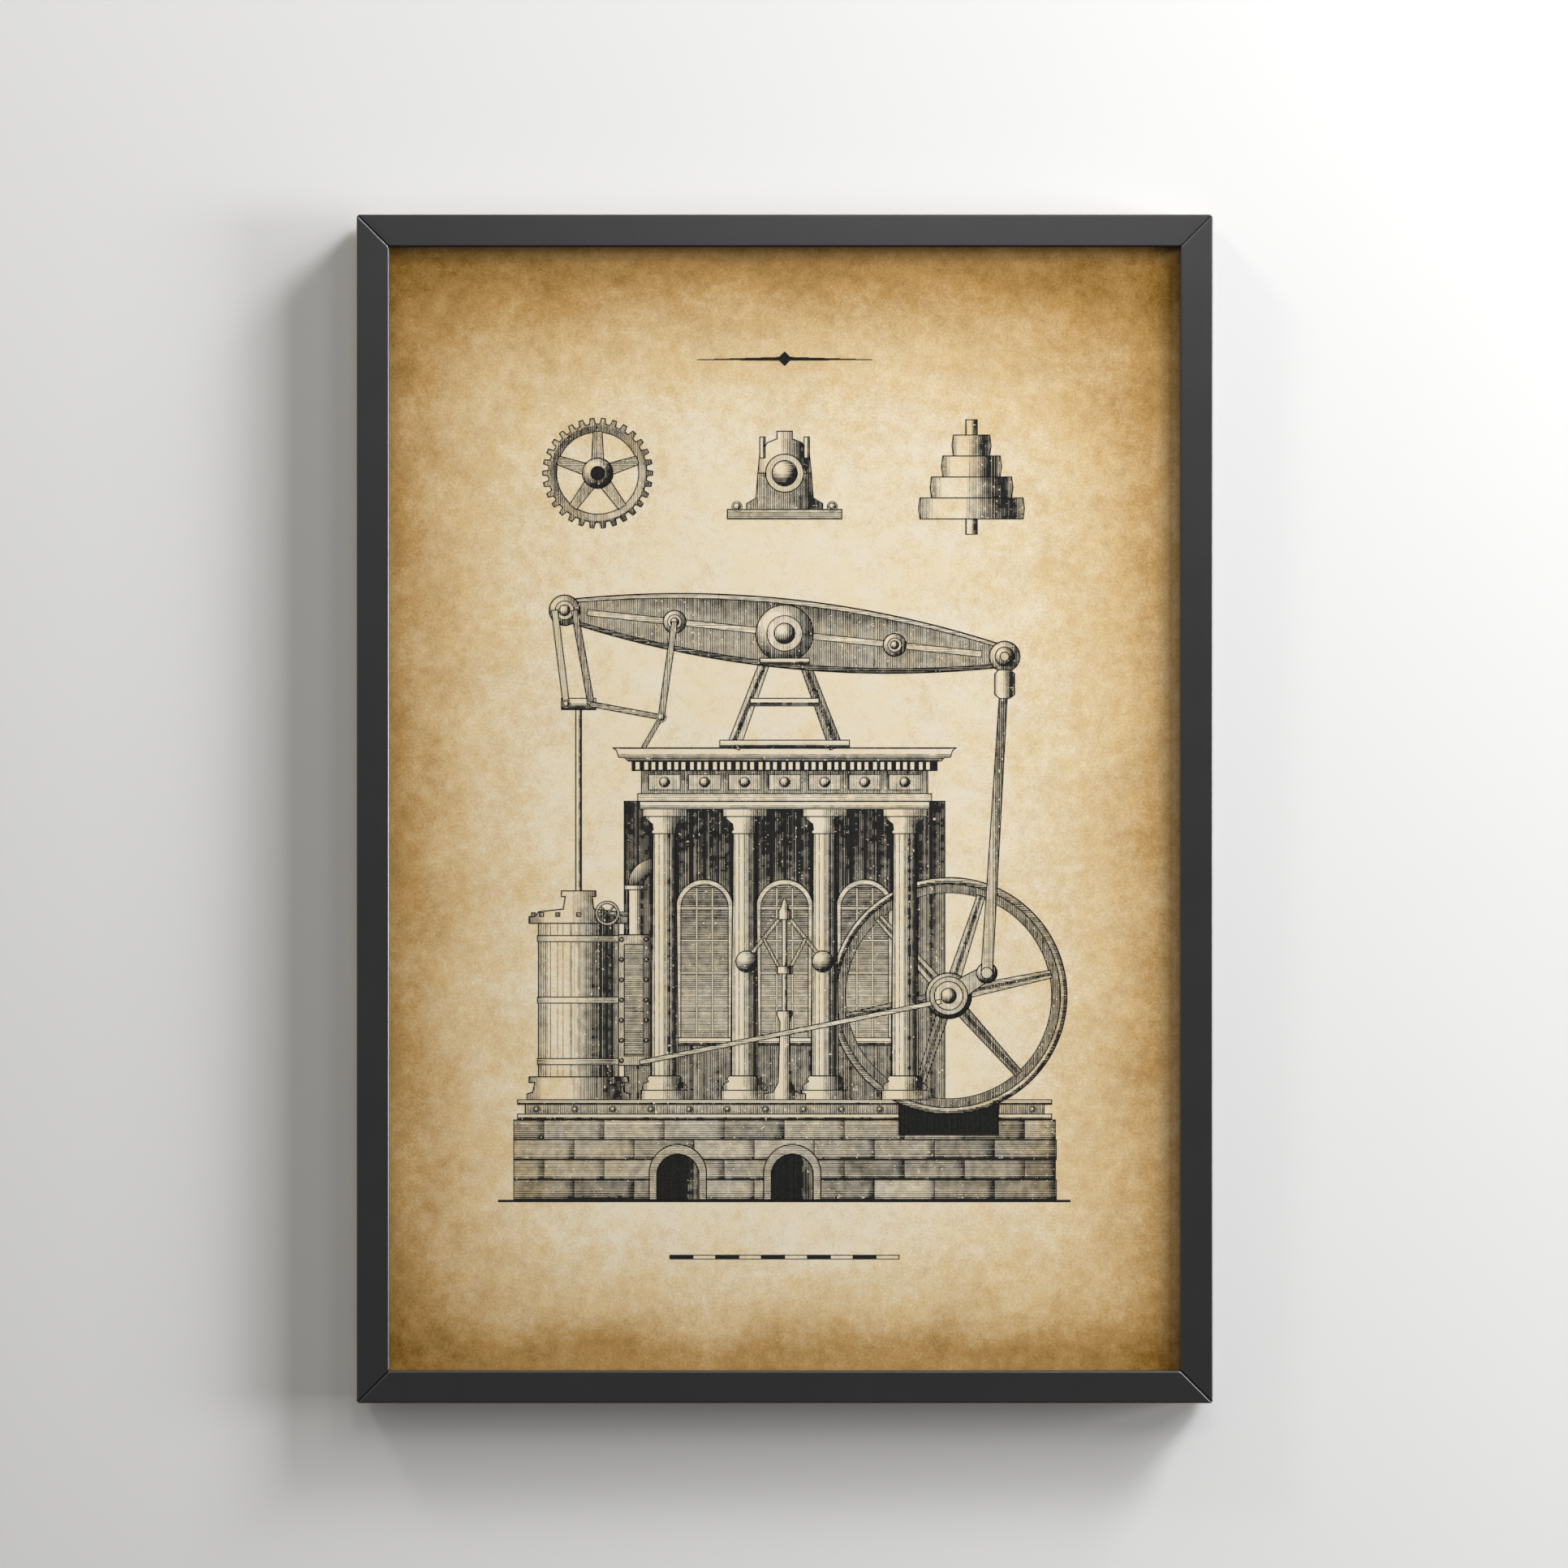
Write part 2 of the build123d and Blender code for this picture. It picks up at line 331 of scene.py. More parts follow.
glass = Finish("low_reflection_glass")
clear = glass.node("BsdfTransparent", {}, {"Color": (0.994, 0.998, 0.994)})
film = glass.noise(160 * MM, detail=3)
mirror = glass.node("BsdfAnisotropic", {}, {"Color": (0.96, 0.98, 1.0), "Roughness": 0.03})
grazing = glass.node("LayerWeight", {}, {"Blend": 0.5}, output="Facing") ** 5
mirrored = (0.04 + grazing * 0.96) * glass.between(film, 0.3, 0.7, 0.4, 0.5)
glass.end(glass.node("MixShader", {}, {0: mirrored, 1: clear, 2: mirror}))
dress("glazing", glass)


# Printed sheet: A2 art paper toned like a foxed old page. The tone is cream in the middle
# and falls to brown at the edges, in soft clouds, over a felted grain and dark specks.

paper = Finish("toned_art_paper")
sight_left, sight_right = frame_left + face_width, frame_right - face_width
sight_bottom, sight_top = frame_bottom + face_width, frame_top - face_width
spot = paper.place()
sheet_x = paper.node("SeparateXYZ", {}, {0: spot}, output="X")
sheet_z = paper.node("SeparateXYZ", {}, {0: spot}, output="Z")
drift = (paper.noise(75 * MM, detail=4, roughness=0.55) - 0.5) * (36 * MM)


def kept(distance, loss, reach, level=0.0):
    """The share of the tone kept at a distance from an edge: 1 - loss * e^(-d / reach),
    where d is no less than level, so that the tone is even that near to the edge. At the
    top and right edges this is painted light that lifts the sheet where the rails' shadow falls."""
    inside = paper.node("Math", {"operation": "MAXIMUM"}, {0: distance + drift, 1: level})
    fall = paper.node("Math", {"operation": "EXPONENT"}, {0: inside * (-1 / reach)})
    return 1 - fall * loss


middle_tone = 1.035
tone = middle_tone * kept(sheet_x - sight_left, 0.56, 50 * MM)
# Painted light: the tone is held even near the right edge, lifting the sheet under the right rail's shadow
tone = tone * kept(sight_right - sheet_x, 0.59, 49 * MM, 12 * MM)
# Painted light: the tone is held even near the top edge, lifting the sheet under the top rail's shadow
tone = tone * kept(sight_top - sheet_z, 0.87, 42 * MM, 15 * MM)
tone = tone * kept(sheet_z - sight_bottom, 0.84, 27 * MM, 12 * MM)
clouds = paper.noise(28 * MM, detail=5, roughness=0.66) - 0.5
stains = paper.noise(7 * MM, detail=5, roughness=0.75) - 0.5
felt = paper.noise(0.75 * MM, detail=2, roughness=0.8) - 0.5
wander = paper.noise(1.7 * MM, detail=3, roughness=0.7) - 0.5
fibres = paper.between(paper.node("Math", {"operation": "ABSOLUTE"}, {0: wander}), 0, 0.05, 1, 0)
tone = tone + clouds * (0.44 - tone * 0.22) + stains * 0.33 + felt * 0.45 + fibres * 0.04
toned = paper.node(
    "ValToRGB",
    {"stops": [
        (0.0, linear(92, 60, 2)),
        (0.2, linear(137, 97, 24)),
        (0.5, linear(190, 151, 94)),
        (0.75, linear(221, 194, 152)),
        (0.86, linear(230, 209, 175)),
        (1.0, linear(241, 229, 210)),
    ]},
    {"Fac": tone},
)
ochre = paper.between(paper.noise(15 * MM, detail=4, roughness=0.65), 0.38, 0.62)
paper.surface({
    "Base Color": paper.blend(ochre, toned, (1.0, 0.965, 0.87), mode="MULTIPLY"),
    "Roughness": 0.75 + stains * 0.1,
    "Specular IOR Level": 0.1,
    "Normal": paper.bump(felt, 0.03 * MM),
})
dress("print_sheet", paper)


# Engraving: a film of black ink on the sheet, cut as an engraver cuts a plate. Each shape
# covers what lies behind it, its tone is lines that swell with the shade, and its edges
# are strokes. Sizes here are millimetres from the sheet's middle, x right and z up.

plate_half_width, plate_half_height = 160, 280
cell = 0.25
plate_x = np.arange(-plate_half_width, plate_half_width, cell) + cell / 2
plate_z = np.arange(-plate_half_height, plate_half_height, cell) + cell / 2
owner = np.zeros((len(plate_z), len(plate_x)), np.int32)
darkness = np.zeros(owner.shape, np.float32)
cut = np.zeros(owner.shape, np.int8)
DOWN, LEVEL = 1, 2
strokes = []


def runs(count):
    """For runs of these lengths laid end to end: each place's run and its place in it."""
    which = np.repeat(np.arange(len(count)), count)
    return which, np.arange(count.sum()) - np.repeat(np.cumsum(count) - count, count)


def draw(loops, shade=0.0, lines=DOWN, edge=0.4):
    """Draws a shape over what is there. Its inside is what closed loops of corners hold
    by the even-odd rule: every edge flips the cells to its left in the rows it passes.
    Its shade is from 0, bare, to 1, black, a number or a function of (x, z)."""
    loops = [np.asarray(loop, float) for loop in loops]
    first = np.concatenate(loops)
    last = np.concatenate([np.roll(loop, -1, 0) for loop in loops])
    columns = slice(*np.searchsorted(plate_x, (first[:, 0].min(), first[:, 0].max())))
    rows = slice(*np.searchsorted(plate_z, (first[:, 1].min(), first[:, 1].max())))
    x, z = plate_x[columns], plate_z[rows]
    ends = np.sort(np.searchsorted(z, np.stack([first[:, 1], last[:, 1]], 1)), 1)
    which, row = runs(ends[:, 1] - ends[:, 0])
    row = row + ends[which, 0]
    way = (last - first)[which]
    meet = first[which, 0] + (z[row] - first[which, 1]) * way[:, 0] / way[:, 1]
    flips = np.zeros((len(z), len(x) + 1), int)
    np.add.at(flips, (row, np.searchsorted(x, meet)), 1)
    inside = flips[:, ::-1].cumsum(1)[:, ::-1][:, 1:] % 2 == 1
    tint = shade(x[None, :], z[:, None]) if callable(shade) else shade
    strokes.append((first, last, edge))
    owner[rows, columns][inside] = len(strokes)
    darkness[rows, columns][inside] = np.broadcast_to(tint, inside.shape)[inside]
    cut[rows, columns][inside] = lines


def bar(left, low, right, high):
    """An upright rectangle."""
    return [[(left, low), (right, low), (right, high), (left, high)]]


def disc(x, z, radius, sides=None):
    """A circle, or a regular shape of so many sides."""
    angle = np.linspace(0, 2 * math.pi, sides or max(16, int(radius * 4)), endpoint=False)
    return [np.stack([x + radius * np.cos(angle), z + radius * np.sin(angle)], 1)]


def ring(x, z, outer, inner):
    """The band between two circles about one point."""
    return disc(x, z, outer) + disc(x, z, inner)


def link(start, stop, width, far_width=None):
    """A bar from one point to another, tapering from one width to the other."""
    start, stop = np.array(start, float), np.array(stop, float)
    way = (stop - start) / np.linalg.norm(stop - start)
    near = np.array([-way[1], way[0]]) * width / 2
    far = np.array([-way[1], way[0]]) * (far_width or width) / 2
    return [[start - near, stop - far, stop + far, start + near]]


def turned(x, profile):
    """A turned shape about an upright line, from its (height, half width) pairs."""
    height, half = np.array(profile, float).T
    right, left = np.stack([x + half, height], 1), np.stack([x - half, height], 1)
    return [np.concatenate([right, left[::-1]])]


def arch(x, low, half, spring):
    """An opening with upright sides and a half-round head over its springing line."""
    angle = np.linspace(0, math.pi, 24)
    head = np.stack([x + half * np.cos(angle), spring + half * np.sin(angle)], 1)
    return [np.concatenate([[(x - half, low), (x + half, low)], head])]


def eased(value, start, stop):
    """0 at start and 1 at stop, along 3 t^2 - 2 t^3."""
    share = np.clip((value - start) / (stop - start), 0, 1)
    return share * share * (3 - 2 * share)


def rolled(share, dark=0.92):
    """A round surface from its lit side, 0, to its far side, 1: a soft near edge, a bare
    band at a quarter, a deep shade, and light thrown back at the far edge."""
    near = 0.45 * (1 - eased(share, 0, 0.16))
    return near + dark * eased(share, 0.36, 0.86) - 0.45 * eased(share, 0.9, 1.0)


def upright(left, right, dark=0.92):
    """The shade of an upright round bar, lit from the left."""
    return lambda x, z: rolled((x - left) / (right - left), dark) + 0 * z


def level(low, high, dark=0.92):
    """The shade of a level round bar, lit from above."""
    return lambda x, z: rolled((high - z) / (high - low), dark) + 0 * x


def ball(x0, z0, radius, dark=0.95):
    """The shade of a ball lit from the upper left: it grows with the distance from a
    point a third of the radius up and to the left."""
    lit = 0.35 * radius
    return lambda x, z: dark * eased(np.hypot(x - x0 + lit, z - z0 - lit) / radius, 0.25, 1.25)


def rim(x0, z0, middle, dark=0.28):
    """The shade of a round rim, a half plus or minus by how each edge faces the light."""

    def shade(x, z):
        far = np.hypot(x - x0, z - z0)
        return 0.5 + dark * ((x - x0) - (z - z0)) / far * np.sign(far - middle)

    return shade


def nut(x, z, radius):
    """A hexagon nut on its washer."""
    draw(disc(x, z, radius * 1.35, 16), 0.2, edge=0.25)
    draw(disc(x, z, radius, 6), ball(x, z, radius), edge=0.3)


# The footing: four courses of cut stone on the ground line, with two culverts
ground, footing_top, footing_half = -205, -163, 142
course, block = (footing_top - ground) / 4, 31.5
draw(bar(-150, ground - 1.2, 150, ground), 1.0, edge=0)
stone_tints = np.random.default_rng(7)
for row in range(4):
    base = ground + row * course
    for number in range(10):
        start = -footing_half + (number - (row % 2) / 2) * block
        left, right = max(start, -footing_half), min(start + block, footing_half)
        tint = 0.22 + 0.34 * stone_tints.random()
        draw(
            bar(left, base, max(right, left + 1), base + course),
            lambda x, z: tint + 0.35 * eased(right - x, 5, 0) + 0.45 * eased(z - base, 2.2, 0),
            LEVEL, edge=0.3,
        )
for middle in (-56, 4):
    draw(arch(middle, ground, 15, ground + 14), 0.35, LEVEL, edge=0.5)
    draw(
        arch(middle, ground, 11, ground + 13),
        lambda x, z: 0.97 - 0.3 * eased(x, middle + 3, middle + 11), edge=0.5,
    )

# The house wall behind, boarded, with three arched lights
bed = footing_top + 10.5


def boards(x, z):
    """Boarding that darkens towards its head, with a dark joint every 7 mm."""
    return 0.6 + 0.3 * eased(z, -80, 4) + 0.25 * (np.abs((x / 7) % 1 - 0.5) > 0.43)


draw(bar(-84, bed, 84, 4), boards)
for middle in (-42, 0, 42):
    draw(arch(middle, -120, 15, -52), 0.12, LEVEL, edge=0.5)
    draw(arch(middle, -120, 12.4, -52), lambda x, z: 0.34 + 0.3 * eased(z, -110, -40) + 0 * x, LEVEL)
    for x in (middle - 4.1, middle + 4.1):
        draw(bar(x - 0.5, -120, x + 0.5, -41.5), 0, edge=0.2)
    for z in (-103, -86, -69, -52):
        draw(bar(middle - 12.4, z - 0.5, middle + 12.4, z + 0.5), 0, edge=0.2)
    draw(bar(middle - 17, -124, middle + 17, -120), level(-124, -120), LEVEL)

# The bed plate, a long ribbed casting bolted down to the footing
draw(bar(-140, footing_top, 140, footing_top + 3), level(footing_top, footing_top + 3), LEVEL)
draw(
    bar(-136, footing_top + 3, 136, footing_top + 8),
    lambda x, z: 0.3 + 0.3 * eased(z, bed, footing_top) + 0 * x,
)
draw(bar(-140, footing_top + 8, 140, bed), level(footing_top + 8, bed), LEVEL)
for x in np.linspace(-130, 130, 14):
    nut(x, footing_top + 5.5, 1.3)

# The flywheel over its pit, with six spokes
wheel = np.array([86, -98])
wheel_radius = 62
draw(bar(wheel[0] - 26, footing_top - 8, wheel[0] + 26, bed), 0.97)
draw(ring(*wheel, wheel_radius, wheel_radius - 3.4), rim(*wheel, wheel_radius - 1.7), LEVEL, edge=0.5)
draw(ring(*wheel, wheel_radius - 3.4, wheel_radius - 8), 0.62, edge=0.35)
for angle in np.radians(12 + 60 * np.arange(6)):
    unit = np.array([math.cos(angle), math.sin(angle)])
    tip = wheel + unit * (wheel_radius - 7)
    draw(link(wheel, tip, 7, 4.2), 0.25 + 0.3 * (unit[1] < 0), DOWN if abs(unit[1]) > 0.6 else LEVEL)
    draw(link(wheel, tip, 1.6, 1.2), 0.8, edge=0.2)
draw(disc(*wheel, 12), ball(*wheel, 12), edge=0.5)

# The steam cylinder, lagged with staves under three bands, with a bolted cover
barrel, barrel_radius = -108, 21
barrel_low, barrel_high = bed + 12, -60


def staves(x, z):
    """Staves round a barrel: the round's shade, with a dark joint at even turns of it."""
    share = (x - barrel) / barrel_radius
    joint = np.abs((np.arcsin(np.clip(share, -1, 1)) * 5.2) % 1 - 0.5) > 0.4
    return rolled((share + 1) / 2, 0.85) + 0.3 * joint + 0 * z


foot = [(0, 27), (3, 27), (4, 24), (9, 23), (9, 26), (12, 26)]
foot = [(bed + rise, half) for rise, half in foot]
draw(turned(barrel, foot), upright(barrel - 26, barrel + 26), edge=0.5)
draw(bar(barrel - barrel_radius, barrel_low, barrel + barrel_radius, barrel_high), staves, edge=0.5)
for z in np.linspace(barrel_low + 8, barrel_high - 8, 3):
    band = barrel_radius + 0.6
    draw(
        bar(barrel - band, z - 1.6, barrel + band, z + 1.6),
        upright(barrel - band, barrel + band, 0.5), LEVEL,
    )
cover = [(0, 26), (3.5, 26), (3.5, 23), (6, 21), (7.5, 8), (14, 7), (14, 9), (17, 9)]
cover = [(barrel_high + rise, half) for rise, half in cover]
draw(turned(barrel, cover), upright(barrel - 24, barrel + 24), edge=0.5)
for x in barrel + 24 * np.sin(np.radians(np.linspace(-81, 81, 7))):
    draw(bar(x - 1.1, barrel_high + 3.5, x + 1.1, barrel_high + 5.6), 0.6, edge=0.3)

# The valve chest beside it, and the steam pipe with its stop valve
chest = barrel + barrel_radius + 9
pipe_turn = -40
draw(bar(chest - 4, barrel_high - 6, chest + 4, pipe_turn), upright(chest - 4, chest + 4))
bend = np.radians(np.linspace(180, 90, 10))
outer = np.stack([chest + 10 + 14 * np.cos(bend), pipe_turn + 14 * np.sin(bend)], 1)
inner = np.stack([chest + 10 + 6 * np.cos(bend), pipe_turn + 6 * np.sin(bend)], 1)
draw([np.concatenate([outer, inner[::-1]])], ball(chest, pipe_turn + 8, 12))
draw(bar(chest - 6, pipe_turn - 2.4, chest + 6, pipe_turn), upright(chest - 6, chest + 6))
draw(bar(chest - 15, -55.5, chest - 4, -54), 0.5, edge=0.3)
handwheel = np.array([chest - 15, -54.7])
draw(ring(*handwheel, 6.4, 5), 0.3, edge=0.35)
for turn in (45, 135):
    unit = 5 * np.array([math.cos(math.radians(turn)), math.sin(math.radians(turn))])
    draw(link(handwheel - unit, handwheel + unit, 0.9), 0.7, edge=0.2)
draw(
    bar(chest - 9, barrel_low + 6, chest + 7, barrel_high - 6),
    lambda x, z: 0.25 + 0.45 * eased(x, chest, chest + 7) + 0 * z, edge=0.5,
)
draw(bar(chest - 6, barrel_low + 11, chest + 4, barrel_high - 11), 0.45, LEVEL)
for z in np.linspace(barrel_low + 8.5, barrel_high - 8.5, 7):
    nut(chest - 7.5, z, 0.9)
    nut(chest + 5.5, z, 0.9)


# Four fluted columns under an entablature with panels and dentils
def column(x, foot, head, half):
    """A fluted column of that half width: plinth, turned base, shaft, cap and abacus."""

    def round_of(share, dark=0.92):
        return upright(x - half * share, x + half * share, dark)

    draw(bar(x - half * 1.75, foot, x + half * 1.75, foot + 5), round_of(1.9, 0.7))
    base = [(5, 1.55), (6.5, 1.68), (8.5, 1.5), (9.5, 1.2), (11, 1.32), (12.5, 1.15)]
    draw(turned(x, [(foot + rise, half * share) for rise, share in base]), round_of(1.6))

    def flutes(across, z):
        share = (across - x) / half
        return rolled((share + 1) / 2, 0.8) + 0.35 * (np.abs((share * 2.6) % 1 - 0.5) > 0.34) + 0 * z

    draw(turned(x, [(foot + 12.5, half), (foot + 40, half), (head - 13, half * 0.84)]), flutes, edge=0.5)
    cap = [(13, 0.95), (11.5, 0.95), (11, 0.84), (8, 0.9), (5.5, 1.35), (4, 1.45)]
    draw(turned(x, [(head - drop, half * share) for drop, share in cap]), round_of(1.4))
    draw(bar(x - half * 1.65, head - 4, x + half * 1.65, head), round_of(1.8, 0.6))


for x in (-63, -21, 21, 63):
    column(x, bed, 0, 7)
draw(bar(-76, 0, 76, 4), level(0, 4, 0.5), LEVEL)
draw(bar(-77, 4, 77, 8), 0.12, LEVEL)
draw(bar(-75, 8, 75, 20), lambda x, z: 0.45 + 0.25 * eased(z, 8, 20) + 0 * x)
for x in np.arange(-63, 64, 21):
    draw(bar(x - 8.4, 10, x + 8.4, 18), 0.2, edge=0.35)
    draw(disc(x, 14, 2.6), ball(x, 14, 2.6), edge=0.35)
draw(bar(-80, 20, 80, 25), 0.95, edge=0.3)
for x in np.arange(-78, 78, 4):
    draw(bar(x, 20.6, x + 2.3, 24.6), 0, edge=0)
draw(turned(0, [(25, 82), (27, 84), (27, 87), (30.5, 88), (32, 90)]), level(25, 32, 0.8), LEVEL)

# The trestle, and the beam on its bearing: deep at the middle and slender at the ends
pivot = np.array([0, 92])
tilt, reach = math.radians(-6), 116
for side in (-1, 1):
    draw(link((side * 27, 32), (side * 7, 86), 7, 5), 0.35 + 0.2 * side)
    draw(link((side * 27, 34), (side * 7, 84), 2, 1.4), 0.85, edge=0.2)
draw(bar(-18, 54, 18, 58), level(54, 58), LEVEL)
draw(bar(-34, 32, 34, 36), level(32, 36), LEVEL)


def on_beam(along, across):
    """Points given along and across the beam, turned about its pivot."""
    turn = np.array([[math.cos(tilt), math.sin(tilt)], [-math.sin(tilt), math.cos(tilt)]])
    return pivot + np.stack(np.broadcast_arrays(along, across), -1) @ turn


def beam(half, tip, inset):
    """The beam's outline: its half depth falls from half to tip as 1 - (a / reach)^2."""
    along = np.linspace(-reach + inset, reach - inset, 61)
    depth = tip + (half - tip) * (1 - (along / reach) ** 2)
    return [np.concatenate([on_beam(along, -depth), on_beam(along[::-1], depth[::-1])])]


def height_on_beam(x, z):
    """How high a point lies on the beam, from -1 at its foot to 1 at its head."""
    return ((z - pivot[1]) * math.cos(tilt) - (x - pivot[0]) * math.sin(tilt)) / 17


draw(beam(18, 5.5, 0), lambda x, z: 0.25 + 0.5 * (height_on_beam(x, z) < 0), LEVEL, edge=0.6)
draw(beam(15.4, 3.6, 5), lambda x, z: 0.45 + 0.3 * eased(height_on_beam(x, z), 0.2, 1))
draw(link(on_beam(-104, 0), on_beam(104, 0), 3.2), 0.15, LEVEL, edge=0.35)
for along, radius in ((-reach, 8), (-58, 6), (58, 6), (reach, 8), (0, 15)):
    boss = on_beam(along, 0)
    draw(disc(*boss, radius), ball(*boss, radius, 0.8), edge=0.5)
    draw(disc(*boss, radius * 0.62), 0.12, edge=0.35)
    draw(disc(*boss, radius * 0.36), ball(*boss, radius * 0.36))
draw(bar(-13, 76, 13, 79), level(76, 79), LEVEL)

# The piston rod, crosshead and parallel links, and the connecting rod with its crank
left_end, left_joint, right_end = on_beam(-reach, 0), on_beam(-58, 0), on_beam(reach, 0)
rod_top = 52
draw(bar(barrel - 1.5, barrel_high + 17, barrel + 1.5, rod_top), upright(barrel - 1.5, barrel + 1.5))
draw(bar(barrel - 9, rod_top, barrel + 9, rod_top + 6), level(rod_top, rod_top + 6), LEVEL)
for side in (-1, 1):
    draw(link((barrel + side * 6.5, rod_top + 3), left_end + (side * 5.2, 0), 3.4), 0.3 + 0.2 * side)
    nut(barrel + side * 6.5, rod_top + 3, 1.6)
elbow = left_joint + (-7, -50)
draw(link(left_joint, elbow, 3.2), 0.35)
draw(link(elbow, (barrel + 6, rod_top + 3), 2.6), 0.4, LEVEL)
draw(link(elbow, (-74, 32), 2.2), 0.4, edge=0.35)
nut(*elbow, 2)
crank = wheel + (20, 12)
draw(link(wheel, crank, 11, 8), 0.3, edge=0.5)
draw(disc(*crank, 5.4), ball(*crank, 5.4), edge=0.5)
draw(
    link(right_end - (0, 9), crank, 4, 6),
    lambda x, z: 0.2 + 0.5 * eased(x, crank[0] + 2, crank[0] + 6) + 0 * z,
)
draw(disc(*crank, 3), 0.1)
strap = [(22, 2.6), (20, 5.2), (9, 5.2), (7, 3)]
draw(
    turned(right_end[0], [(right_end[1] - drop, half) for drop, half in strap]),
    upright(right_end[0] - 5, right_end[0] + 5),
)
for radius, shade in ((5, ball(*right_end, 5)), (2.4, 0.1)):
    draw(disc(*right_end, radius), shade)
for radius, shade in ((7.5, 0.15), (4, ball(*wheel, 4))):
    draw(disc(*wheel, radius), shade)

# The ball governor in the middle bay, and the eccentric rod along the bed
draw(
    turned(0, [(bed, 11), (bed + 3, 11), (bed + 4, 6), (bed + 9, 3.4), (-112, 2.4), (-108, 4), (-106, 4)]),
    upright(-6, 6), edge=0.45,
)
draw(bar(-1.2, -106, 1.2, -52), upright(-1.2, 1.2), edge=0.35)
for side in (-1, 1):
    draw(link((side * 1.5, -56), (side * 19, -78), 1.9), 0.3, edge=0.35)
    draw(link((side * 11, -68), (side * 2.6, -84), 1.6), 0.3, edge=0.35)
    draw(disc(side * 20, -80, 5.6), ball(side * 20, -80, 5.6), LEVEL)
draw(bar(-4, -86.5, 4, -82.5), upright(-4, 4))
draw(turned(0, [(-58, 3.4), (-54, 3.4), (-52, 2), (-49, 1.2), (-47, 0.4)]), upright(-3.4, 3.4))
draw(link(wheel - (4, 3), (chest + 2, -133), 2.4), 0.15, LEVEL)
draw(ring(*wheel, 10, 7.5), 0.25)

# Three details above: a spur wheel, a capped bearing and a cone pulley
detail_z = 176
gear = np.array([-98, detail_z])
phase, flank = np.array([-0.28, -0.17, 0.17, 0.28]), np.array([25.8, 28.8, 28.8, 25.8])
angle = (np.arange(30)[:, None] + phase) * 2 * math.pi / 30
teeth = gear + np.stack([flank * np.cos(angle), flank * np.sin(angle)], -1).reshape(-1, 2)
draw([teeth], rim(*gear, 25, 0.2), edge=0.45)
draw(disc(*gear, 21.5), 0)
for angle in np.radians(90 + 72 * np.arange(5)):
    unit = np.array([math.cos(angle), math.sin(angle)])
    draw(link(gear, gear + unit * 22, 7, 4.6), 0.35, DOWN if abs(unit[1]) > 0.6 else LEVEL)
draw(disc(*gear, 8), ball(*gear, 8), edge=0.45)
draw(disc(*gear, 3.6), 0.98)

draw(bar(-30, 152, 30, 157), 0.35, LEVEL, edge=0.45)
draw(
    turned(0, [(157, 20), (160, 20), (163, 15), (176, 14)]),
    lambda x, z: 0.5 + 0.3 * eased(x, 0, 14) + 0 * z,
)
draw(turned(0, [(176, 14), (186, 13), (192, 9), (194, 4), (198, 4)]), upright(-14, 14), edge=0.45)
draw(ring(0, detail_z, 10, 6.6), 0.1, edge=0.45)
draw(disc(0, detail_z, 6.6), ball(0, detail_z, 6.6), LEVEL)
for side in (-1, 1):
    nut(side * 25, 158.5, 2)
    draw(bar(side * 11.6 - 1.4, 184, side * 11.6 + 1.4, 195), upright(side * 11.6 - 1.4, side * 11.6 + 1.4))

pulley = 98
for low, radius in ((152, 27), (163, 21), (174, 15), (185, 9.5)):
    steps = [(low, radius), (low + 5.5, radius + 0.7), (low + 11, radius)]
    draw(turned(pulley, steps), upright(pulley - radius, pulley + radius), edge=0.45)
for low in (144, 196):
    draw(bar(pulley - 3, low, pulley + 3, low + 8), upright(pulley - 3, pulley + 3))

# A swelled rule over the plate, and a plain scale of divisions under it
for side in (-1, 1):
    draw([[(0, 235), (side * 46, 235.25), (side * 46, 235.6), (0, 237)]], 1.0, edge=0)
draw(disc(0, 236, 3.6, 4), 1.0, edge=0.3)
for number in range(10):
    draw(bar(-60 + number * 12, -236, -48 + number * 12, -234), 1.0 - number % 2, edge=0.35)


def worn(size, seed):
    """Grainy noise of that size in cells over the plate, from 0 to 1: random corners
    with straight blends between them."""
    rows, columns = [np.arange(extent) / size for extent in owner.shape]
    r, c = rows.astype(int), columns.astype(int)
    corners = np.random.default_rng(seed).random((r[-1] + 2, c[-1] + 2))
    down, right = (rows - r)[:, None], (columns - c)[None, :]
    head = corners[r][:, c] * (1 - right) + corners[r][:, c + 1] * right
    foot = corners[r + 1][:, c] * (1 - right) + corners[r + 1][:, c + 1] * right
    return head * (1 - down) + foot * down


